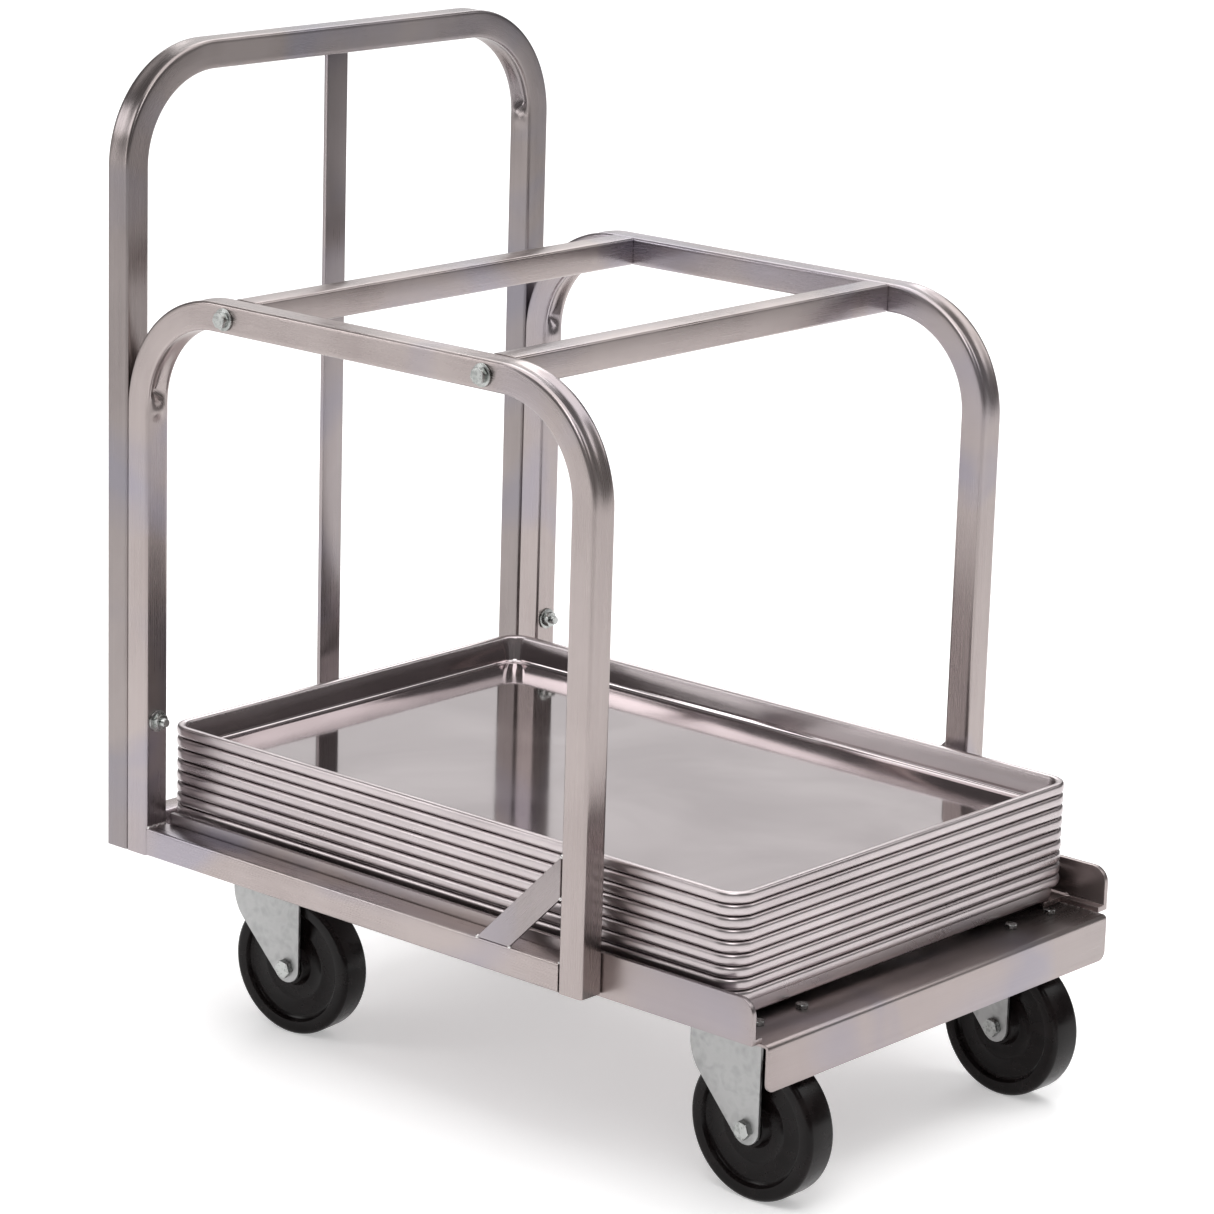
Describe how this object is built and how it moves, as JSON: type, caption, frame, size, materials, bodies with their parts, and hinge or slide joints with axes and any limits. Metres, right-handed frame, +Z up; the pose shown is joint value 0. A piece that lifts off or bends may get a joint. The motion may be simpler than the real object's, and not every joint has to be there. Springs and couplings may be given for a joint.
{
  "type": "sheet pan rack",
  "caption": "Low open truck of bent square aluminium tube with a tall push handle, two side hoops, swivel casters and a nest of rolled-rim sheet pans on its deck.",
  "frame": {"origin": "on the floor, under the middle of the rack's overall box", "axes": "+X towards the open front, away from the push handle; +Y to the rack's left; +Z up"},
  "size_m": [0.7536, 0.5522, 0.8765],
  "materials": {
    "tube_aluminium": "satin mill finish, drawn lengthwise",
    "bar_aluminium": "satin mill finish flat bar",
    "plate_aluminium": "satin mill finish angle and sheet",
    "pan_aluminium": "bright pressed sheet, near mirror inside",
    "zinc_steel": "bright zinc plate with a mottled bloom",
    "bolt_zinc": "bright zinc plate",
    "wheel_black": "glossy hard black moulding"
  },
  "bodies": {
    "frame": {"bottom_rail_left": "tube_aluminium", "bottom_rail_right": "tube_aluminium", "brace_left": "bar_aluminium", "brace_right": "bar_aluminium", "caster_front_left_kingpin": "zinc_steel", "caster_front_left_plate": "zinc_steel", "caster_front_right_kingpin": "zinc_steel", "caster_front_right_plate": "zinc_steel", "caster_rear_left_kingpin": "zinc_steel", "caster_rear_left_plate": "zinc_steel", "caster_rear_right_kingpin": "zinc_steel", "caster_rear_right_plate": "zinc_steel", "center_support": "plate_aluminium", "cross_bar_bolt_front_left": "bolt_zinc", "cross_bar_bolt_front_right": "bolt_zinc", "cross_bar_bolt_rear_left": "bolt_zinc", "cross_bar_bolt_rear_right": "bolt_zinc", "cross_bar_front": "tube_aluminium", "cross_bar_rear": "tube_aluminium", "front_deck_plate": "plate_aluminium", "handle_center_bar": "bar_aluminium", "handle_hoop": "tube_aluminium", "leg_bolt_left": "bolt_zinc", "leg_bolt_right": "bolt_zinc", "rear_cross_tube": "tube_aluminium", "rear_deck_plate": "plate_aluminium", "side_angle_left": "plate_aluminium", "side_angle_right": "plate_aluminium", "side_hoop_left": "tube_aluminium", "side_hoop_leg_left": "tube_aluminium", "side_hoop_leg_right": "tube_aluminium", "side_hoop_right": "tube_aluminium"},
    "pan_1": {"pan_1": "pan_aluminium"},
    "pan_2": {"pan_2": "pan_aluminium"},
    "pan_3": {"pan_3": "pan_aluminium"},
    "pan_4": {"pan_4": "pan_aluminium"},
    "pan_5": {"pan_5": "pan_aluminium"},
    "pan_6": {"pan_6": "pan_aluminium"},
    "pan_7": {"pan_7": "pan_aluminium"},
    "pan_8": {"pan_8": "pan_aluminium"},
    "pan_9": {"pan_9": "pan_aluminium"},
    "caster_front_right_swivel": {"caster_front_right_fork": "zinc_steel", "caster_front_right_axle_bolt": "zinc_steel", "caster_front_right_bushing": "zinc_steel"},
    "caster_front_right_wheel": {"caster_front_right_wheel": "wheel_black"},
    "caster_front_left_swivel": {"caster_front_left_fork": "zinc_steel", "caster_front_left_axle_bolt": "zinc_steel", "caster_front_left_bushing": "zinc_steel"},
    "caster_front_left_wheel": {"caster_front_left_wheel": "wheel_black"},
    "caster_rear_right_swivel": {"caster_rear_right_fork": "zinc_steel", "caster_rear_right_axle_bolt": "zinc_steel", "caster_rear_right_bushing": "zinc_steel"},
    "caster_rear_right_wheel": {"caster_rear_right_wheel": "wheel_black"},
    "caster_rear_left_swivel": {"caster_rear_left_fork": "zinc_steel", "caster_rear_left_axle_bolt": "zinc_steel", "caster_rear_left_bushing": "zinc_steel"},
    "caster_rear_left_wheel": {"caster_rear_left_wheel": "wheel_black"}
  },
  "joints": [
    {"name": "caster_front_right_swivel_turn", "type": "hinge", "parent": "frame", "child": "caster_front_right_swivel", "pos_m": [0.28454, -0.1709, 0.1558], "axis": [0, 0, 1], "continuous": true},
    {"name": "caster_front_right_wheel_roll", "type": "hinge", "parent": "caster_front_right_swivel", "child": "caster_front_right_wheel", "pos_m": [0.31274, -0.1709, 0.0635], "axis": [0, 1, 0], "continuous": true},
    {"name": "caster_front_left_swivel_turn", "type": "hinge", "parent": "frame", "child": "caster_front_left_swivel", "pos_m": [0.28454, 0.1709, 0.1558], "axis": [0, 0, 1], "continuous": true},
    {"name": "caster_front_left_wheel_roll", "type": "hinge", "parent": "caster_front_left_swivel", "child": "caster_front_left_wheel", "pos_m": [0.31269, 0.16923, 0.0635], "axis": [0.0593, 0.9982, 0], "continuous": true},
    {"name": "caster_rear_right_swivel_turn", "type": "hinge", "parent": "frame", "child": "caster_rear_right_swivel", "pos_m": [-0.24996, -0.1709, 0.1558], "axis": [0, 0, 1], "continuous": true},
    {"name": "caster_rear_right_wheel_roll", "type": "hinge", "parent": "caster_rear_right_swivel", "child": "caster_rear_right_wheel", "pos_m": [-0.2219, -0.16805, 0.0635], "axis": [-0.1011, 0.9949, 0], "continuous": true},
    {"name": "caster_rear_left_swivel_turn", "type": "hinge", "parent": "frame", "child": "caster_rear_left_swivel", "pos_m": [-0.24996, 0.1709, 0.1558], "axis": [0, 0, 1], "continuous": true},
    {"name": "caster_rear_left_wheel_roll", "type": "hinge", "parent": "caster_rear_left_swivel", "child": "caster_rear_left_wheel", "pos_m": [-0.22177, 0.17164, 0.0635], "axis": [-0.0262, 0.9997, 0], "continuous": true},
    {"name": "pan_1_lift", "type": "slide", "parent": "frame", "child": "pan_1", "axis": [0, 0, 1], "range_m": [0, 0.038]},
    {"name": "pan_2_lift", "type": "slide", "parent": "pan_1", "child": "pan_2", "axis": [0, 0, 1], "range_m": [0, 0.038]},
    {"name": "pan_3_lift", "type": "slide", "parent": "pan_2", "child": "pan_3", "axis": [0, 0, 1], "range_m": [0, 0.038]},
    {"name": "pan_4_lift", "type": "slide", "parent": "pan_3", "child": "pan_4", "axis": [0, 0, 1], "range_m": [0, 0.038]},
    {"name": "pan_5_lift", "type": "slide", "parent": "pan_4", "child": "pan_5", "axis": [0, 0, 1], "range_m": [0, 0.038]},
    {"name": "pan_6_lift", "type": "slide", "parent": "pan_5", "child": "pan_6", "axis": [0, 0, 1], "range_m": [0, 0.038]},
    {"name": "pan_7_lift", "type": "slide", "parent": "pan_6", "child": "pan_7", "axis": [0, 0, 1], "range_m": [0, 0.038]},
    {"name": "pan_8_lift", "type": "slide", "parent": "pan_7", "child": "pan_8", "axis": [0, 0, 1], "range_m": [0, 0.038]},
    {"name": "pan_9_lift", "type": "slide", "parent": "pan_8", "child": "pan_9", "axis": [0, 0, 1], "range_m": [0, 0.038]}
  ]
}
